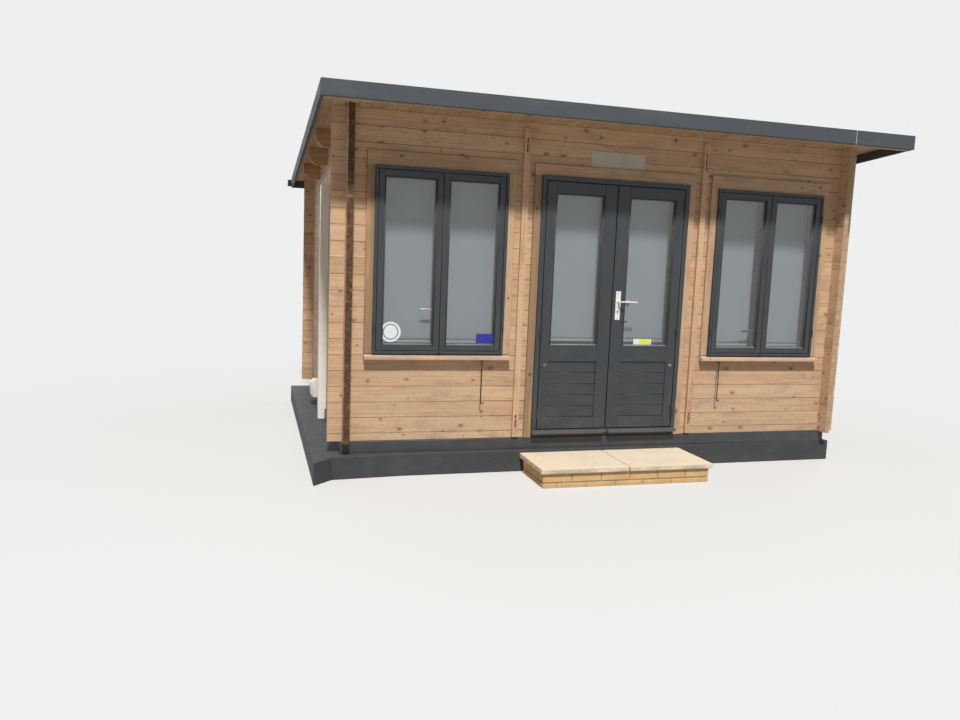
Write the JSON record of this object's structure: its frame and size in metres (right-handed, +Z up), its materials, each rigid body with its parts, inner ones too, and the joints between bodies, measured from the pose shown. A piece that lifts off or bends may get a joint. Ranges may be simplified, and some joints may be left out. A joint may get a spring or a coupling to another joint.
{
  "type": "garden office pod",
  "caption": "Log walled garden office with a low single pitch roof, glazed double doors between two casement windows, roller blinds and a brick doorstep.",
  "frame": {"origin": "On the ground under the middle of the log walls, at the base slab's underside.", "axes": "+X to the right along the front seen from outside, +Y from the front to the rear, +Z up."},
  "size_m": [4.582, 3.94, 2.6593],
  "materials": {
    "log_wood": "weathered, oiled softwood",
    "trim_wood": "weathered, planed softwood",
    "roof_wood": "planed softwood",
    "floor_wood": "planed softwood",
    "grey_painted_wood": "satin anthracite paint",
    "grey_painted_bearer": "matt anthracite paint",
    "grey_painted_concrete": "matt anthracite paint over concrete",
    "glass": "clear",
    "blind_cloth": "pale grey woven",
    "roof_felt": "mineral surfaced",
    "black_plastic": "satin",
    "white_plastic": "satin",
    "brick": "rough buff brick",
    "paving": "rough concrete flag",
    "steel": "brushed",
    "white_painted_metal": "gloss white",
    "black_painted_metal": "matt black",
    "sign_face": "weathered pale enamel"
  },
  "bodies": {
    "pod": {"base_slab": "grey_painted_concrete", "bearers": "grey_painted_bearer", "floor": "floor_wood", "front_wall_left": "log_wood", "front_wall_right": "log_wood", "front_wall_at_doorway": "log_wood", "left_wall": "log_wood", "right_wall": "log_wood", "rear_wall": "log_wood", "purlins": "roof_wood", "roof_boards": "roof_wood", "roof_covering": "roof_felt", "front_fascia": "grey_painted_wood", "eaves_batten": "roof_wood", "barge_boards": "grey_painted_wood", "rear_fascia": "grey_painted_wood", "rear_gutter": "black_plastic", "storm_braces": "trim_wood", "window_sills": "trim_wood", "window_trims": "trim_wood", "window_frames": "grey_painted_wood", "window_sashes": "grey_painted_wood", "window_glass": "glass", "window_blinds": "blind_cloth", "door_trims": "trim_wood", "door_frame": "grey_painted_wood", "door_sill": "grey_painted_wood", "frame_hinges": "black_painted_metal", "sign_plate": "sign_face", "line_cover": "white_plastic", "isolator_box": "white_plastic", "step_brickwork": "brick", "step_paving": "paving", "hook_eyes": "black_painted_metal"},
    "left_door": {"left_door_leaf": "grey_painted_wood", "left_door_panel": "grey_painted_wood", "left_door_glass": "glass", "left_door_blind": "blind_cloth", "left_door_fittings": "black_painted_metal"},
    "right_door": {"right_door_leaf": "grey_painted_wood", "right_door_panel": "grey_painted_wood", "right_door_glass": "glass", "right_door_blind": "blind_cloth", "right_door_fittings": "black_painted_metal", "handle_plates": "white_painted_metal"},
    "lever": {"door_lever": "white_painted_metal"},
    "left_hook": {"left_cabin_hook": "black_painted_metal"},
    "right_hook": {"right_cabin_hook": "black_painted_metal"}
  },
  "joints": [
    {"name": "left_door_hinge", "type": "hinge", "parent": "pod", "child": "left_door", "pos_m": [-0.568, -1.539, 1.25], "axis": [0, 0, -1], "range_deg": [0, 165]},
    {"name": "right_door_hinge", "type": "hinge", "parent": "pod", "child": "right_door", "pos_m": [0.568, -1.539, 1.25], "axis": [0, 0, 1], "range_deg": [0, 165]},
    {"name": "lever_turn", "type": "hinge", "parent": "right_door", "child": "lever", "pos_m": [0.048, -1.51, 1.305], "axis": [0, 1, 0], "range_deg": [0, 40], "stiffness_Nm_per_rad": 1.2, "springref_deg": -8.59},
    {"name": "left_hook_swing", "type": "hinge", "parent": "pod", "child": "left_hook", "pos_m": [-1.021, -1.545, 0.828], "axis": [0, -1, 0], "range_deg": [-80, 90]},
    {"name": "right_hook_swing", "type": "hinge", "parent": "pod", "child": "right_hook", "pos_m": [0.965, -1.545, 0.828], "axis": [0, 1, 0], "range_deg": [-80, 90]}
  ]
}
